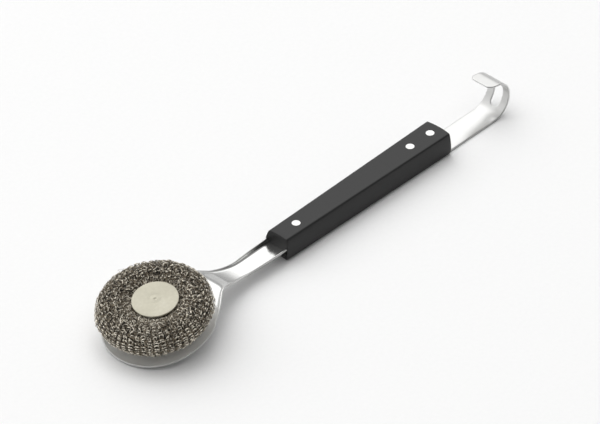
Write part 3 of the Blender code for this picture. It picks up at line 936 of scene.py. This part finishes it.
def seat(point):
    """Keeps the wire under the disc, round the boss and inside the dish."""
    reach = np.maximum(np.hypot(point[:, 0], point[:, 1]), 1e-6)
    point[:, :2] *= np.maximum(1.0, BOSS_CLEAR / reach)[:, None]
    near_disc = np.clip((DIP_REACH - reach) / DIP_RUN, 0.0, 1.0)
    dip = DISC_TOP - DISC_THICK + DIP_START - DIP_FALL * near_disc
    ceiling = np.where(near_disc > 0, dip, 100.0)
    point[:, 2] = np.minimum(point[:, 2], ceiling)
    spread = np.minimum((np.abs(point[:, 0]) / DISH_LONG) ** 2 + (np.abs(point[:, 1]) / DISH_WIDE) ** 2, 1.0)
    point[:, 2] = np.maximum(point[:, 2], -DISH_DEPTH * (1 - spread**2) + DISH_CLEAR)
    return point


def wire_mesh(name, strands, width, thick, material):
    """One mesh of closed strands, each a flattened wire of lens-shaped section."""
    points, faces, offset = [], [], 0
    for point, normal, twist, broad in strands:
        total = len(point)
        along = np.roll(point, -1, 0) - np.roll(point, 1, 0)
        along /= np.linalg.norm(along, axis=1, keepdims=True) + 1e-12
        flat = np.cross(along, normal)
        flat /= np.linalg.norm(flat, axis=1, keepdims=True) + 1e-12
        up = np.cross(flat, along)
        c, s = np.cos(twist)[:, None], np.sin(twist)[:, None]
        a, b = flat * c + up * s, up * c - flat * s
        a, b = a * (width / 2 * broad)[:, None], b * (thick * broad**0.5)[:, None]
        ring = [point - a, point - b, point + a, point + b]
        points.append(np.stack(ring, 1).reshape(-1, 3))
        index = np.arange(total)
        following = np.roll(index, -1)
        for k in range(4):
            m = (k + 1) % 4
            quad = [index * 4 + k, following * 4 + k, following * 4 + m, index * 4 + m]
            faces.append(np.stack(quad, 1) + offset)
        offset += total * 4
    points = world(head(np.concatenate(points)))
    faces = np.concatenate(faces)
    mesh = bpy.data.meshes.new(name)
    mesh.vertices.add(len(points))
    mesh.vertices.foreach_set("co", points.ravel())
    mesh.loops.add(faces.size)
    mesh.loops.foreach_set("vertex_index", faces.ravel())
    mesh.polygons.add(len(faces))
    mesh.polygons.foreach_set("loop_start", np.arange(0, faces.size, 4))
    mesh.update(calc_edges=True)
    mesh.validate()
    obj = bpy.data.objects.new(name, mesh)
    bpy.context.scene.collection.objects.link(obj)
    mesh.materials.append(material)
    return obj


def knit_layer(name, seed, scale, wales, courses, segments, width, thick, lift, mess, material):
    """Courses of linked loops round the ring: each head lies proud and each foot sinks in."""
    rng = np.random.default_rng(seed)
    total = wales * segments
    t = np.arange(total) / segments * 2 * math.pi
    spin = t / wales
    step = 2 * math.pi / courses
    wander = ripple(rng, spin, 8, 0.3, 2, 9) * 2 * math.pi / wales
    shelf = ripple(rng, spin, 6, 0.3, 3, 14)
    strands = []
    for course in range(courses):
        turn = -math.pi / 2 + step * course
        upper = smooth((math.degrees(turn) - 5.0) / 70.0)
        loose = mess * (0.22 + 0.95 * upper)
        loop = t + rng.normal() * 0.16 * loose * 3
        theta = spin + wander + 0.42 * np.sin(2 * loop) * math.pi / wales
        theta = theta + ripple(rng, spin, 10, 0.012 * loose, 8, 60)
        rise = 0.62 * np.cos(loop) * (1 + ripple(rng, spin, 8, 0.4 * loose, 8, 60))
        phi = turn + step * (rise + ripple(rng, spin, 10, 0.5 * loose, 4, 60) + rng.normal() * 0.12)
        point, normal = ring_point(theta, phi, scale)
        high = lift * np.cos(loop) + ripple(rng, spin, 12, 0.5 * loose, 6, 90)
        point = point + normal * (high + shelf)[:, None]
        point[:, :2] += RING_SHIFT
        broad = (0.45 + 0.75 * np.clip(np.cos(loop), 0.0, 1.0)) * (1.0 - 0.22 * upper)
        strands.append((seat(point), normal, ripple(rng, spin, 12, 0.5 + 0.5 * loose, 8, 120), broad))
    return wire_mesh(name, strands, width, thick, material)


def build_core():
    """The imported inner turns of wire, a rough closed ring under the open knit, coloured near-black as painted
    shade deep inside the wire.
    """
    rng = np.random.default_rng(5)
    around, tube = 240, 60
    points, faces = [], []
    theta = np.linspace(0, 2 * math.pi, around, endpoint=False)
    for k in range(tube):
        phi = np.full_like(theta, 2 * math.pi * k / tube)
        point, normal = ring_point(theta, phi, CORE_SCALE)
        lift = rng.uniform(-0.35, 0.35, around)
        point[:, :2] += RING_SHIFT
        points.append(seat(point + normal * lift[:, None]))
    for k in range(tube):
        m = (k + 1) % tube
        for i in range(around):
            j = (i + 1) % around
            faces.append((k * around + i, k * around + j, m * around + j, m * around + i))
    points = world(head(np.concatenate(points)))
    mesh = bpy.data.meshes.new("scourer_core")
    mesh.from_pydata([tuple(p) for p in points], [], faces)
    obj = bpy.data.objects.new("scourer_core", mesh)
    bpy.context.scene.collection.objects.link(obj)
    mesh.materials.append(WIRE_CORE_SHADE)
    return obj


def build_scourer():
    """A packed core under three knitted layers; the core and the two deeper layers wear darker copies of the wire
    as painted shade, and the dish mirrors only the outer one.
    """
    core = build_core()
    outer, fine, middle = (
        knit_layer("scourer_knit_outer", 11, 0.925, 54, 46, 10, 0.78, 0.12, 1.25, 1.2, WIRE),
        knit_layer("scourer_knit_fine", 17, 0.915, 84, 30, 8, 0.5, 0.1, 0.7, 2.2, WIRE_SHADED),
        knit_layer("scourer_knit_middle", 23, 0.87, 58, 40, 10, 0.6, 0.12, 0.7, 1.6, WIRE_SHADED),
    )
    for obj in (core, fine, middle):
        obj.visible_glossy = False
    for obj in (core, outer, fine, middle):
        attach(obj, "scourer")
        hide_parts("scourer_ring")


# ------------------------------------------------------------------ stage


def build_stage():
    s = 60.0
    mesh = bpy.data.meshes.new("floor")
    mesh.from_pydata([(-s, -s, 0), (s, -s, 0), (s, s, 0), (-s, s, 0)], [], [(0, 1, 2, 3)])
    floor = bpy.data.objects.new("floor", mesh)
    bpy.context.scene.collection.objects.link(floor)
    m = Nodes("floor_paper", Roughness=0.9)
    m.shader.inputs["Specular IOR Level"].default_value = 0.0
    paper = m.noise(m.object_space, 300.0, 3.0, 0.5)
    m.to(m.ramp(paper, [(0.2, (0.83, 0.83, 0.83)), (0.8, (0.85, 0.85, 0.85))]), "Base Color")
    dim = m.add("ShaderNodeBsdfDiffuse")
    dim.inputs["Color"].default_value = (0.62, 0.62, 0.62, 1.0)
    mix = m.add("ShaderNodeMixShader")
    path = m.add("ShaderNodeLightPath")
    m.link(path.outputs["Is Glossy Ray"], mix.inputs["Fac"])
    m.link(m.shader.outputs["BSDF"], mix.inputs[1])
    m.link(dim.outputs["BSDF"], mix.inputs[2])
    m.link(mix.outputs[0], m.tree.nodes["Material Output"].inputs["Surface"])
    mesh.materials.append(m.material)


def build_world():
    """A dim room with one broad bright panel behind the object and a weaker one to its left.

    The camera sees a plain pale backdrop in its place where it looks past the floor.
    """
    sky = bpy.data.worlds.new("studio")
    bpy.context.scene.world = sky
    sky.use_nodes = True
    tree = sky.node_tree
    tree.nodes.clear()

    def node(kind, **values):
        made = tree.nodes.new(kind)
        for key, value in values.items():
            setattr(made, key, value)
        return made

    def span(value, low, high, to_low, to_high):
        made = node("ShaderNodeMapRange", interpolation_type="SMOOTHSTEP")
        for key, number in zip(("From Min", "From Max", "To Min", "To Max"), (low, high, to_low, to_high)):
            made.inputs[key].default_value = number
        tree.links.new(value, made.inputs["Value"])
        return made.outputs["Result"]

    def maths(operation, a, b):
        made = node("ShaderNodeMath", operation=operation)
        tree.links.new(a, made.inputs[0])
        tree.links.new(b, made.inputs[1])
        return made.outputs[0]

    def towards(rise, turn):
        rise, turn = math.radians(rise), math.radians(turn)
        made = node("ShaderNodeVectorMath", operation="DOT_PRODUCT")
        made.inputs[1].default_value = (
            math.cos(rise) * math.cos(turn), math.cos(rise) * math.sin(turn), math.sin(rise),
        )
        tree.links.new(coord.outputs["Generated"], made.inputs[0])
        return made.outputs["Value"]

    coord = node("ShaderNodeTexCoord")
    split = node("ShaderNodeSeparateXYZ")
    tree.links.new(coord.outputs["Generated"], split.inputs[0])
    panel = span(towards(28.0, 58.0), 0.66, 0.86, 0.0, 0.95)
    panel = maths("MULTIPLY", panel, span(split.outputs["Z"], 0.17, 0.44, 0.02, 1.0))
    left = span(towards(30.0, 140.0), 0.35, 0.9, 0.0, 0.42)
    room = span(towards(28.0, 58.0), -0.3, 0.66, 0.14, 0.40)
    total = maths("MAXIMUM", maths("ADD", panel, room), maths("ADD", left, room))
    glow = node("ShaderNodeBackground")
    out = node("ShaderNodeOutputWorld")
    tree.links.new(total, glow.inputs["Strength"])
    glow.inputs["Color"].default_value = (1.0, 1.0, 0.995, 1.0)
    pale = node("ShaderNodeBackground")
    pale.inputs["Color"].default_value = (0.93, 0.93, 0.93, 1.0)
    path = node("ShaderNodeLightPath")
    either = node("ShaderNodeMixShader")
    tree.links.new(path.outputs["Is Camera Ray"], either.inputs["Fac"])
    tree.links.new(glow.outputs[0], either.inputs[1])
    tree.links.new(pale.outputs[0], either.inputs[2])
    tree.links.new(either.outputs[0], out.inputs["Surface"])


def area_light(name, place, size, power, glossy):
    data = bpy.data.lights.new(name, "AREA")
    data.shape = "RECTANGLE"
    data.size, data.size_y = size
    data.energy = power
    lamp = bpy.data.objects.new(name, data)
    bpy.context.scene.collection.objects.link(lamp)
    lamp.location = place
    lamp.rotation_mode = "QUATERNION"
    lamp.rotation_quaternion = (-Vector(place)).to_track_quat("-Z", "Y")
    lamp.visible_camera = False
    lamp.visible_glossy = glossy


def build_camera():
    """The photograph's view: 38 degrees down, 47.4 degrees round, and close to parallel."""
    elevation, round_turn = math.radians(38.0), math.radians(42.6)
    right = Vector((math.sin(round_turn), -math.cos(round_turn), 0.0))
    back = Vector(
        (
            -math.cos(round_turn) * math.cos(elevation),
            -math.sin(round_turn) * math.cos(elevation),
            math.sin(elevation),
        )
    )
    up = back.cross(right)
    roll = math.radians(0.07)
    right, up = right * math.cos(roll) - up * math.sin(roll), right * math.sin(roll) + up * math.cos(roll)
    scale = 0.7548 * MM
    datum = Vector((DATUM, 0.0, HANDLE_TALL * MM))
    target = datum + right * (300 - 155.5) * scale + up * (316.87 - 211.55) * scale
    data = bpy.data.cameras.new("camera")
    data.sensor_width = 36.0
    data.lens = 1100.0
    distance = data.lens * 600 * scale / 36.0
    data.clip_start, data.clip_end = 0.1, 60.0
    camera = bpy.data.objects.new("camera", data)
    bpy.context.scene.collection.objects.link(camera)
    turn = Matrix((right, up, back)).transposed()
    camera.rotation_mode = "QUATERNION"
    camera.rotation_quaternion = turn.to_quaternion()
    camera.location = target + back * distance
    bpy.context.scene.camera = camera


build_camera()
build_world()
build_stage()
area_light("key", (0.3, 3.2, 4.8), (8.5, 8.5), 225.0, False)
area_light("top", (-0.6, -0.2, 6.0), (9.0, 9.0), 150.0, False)
bpy.context.scene.view_settings.view_transform = "Standard"
build_blade()
build_strip()
build_handle()
build_rivets()
build_clamp()
build_screw()
build_washer()
build_scourer()
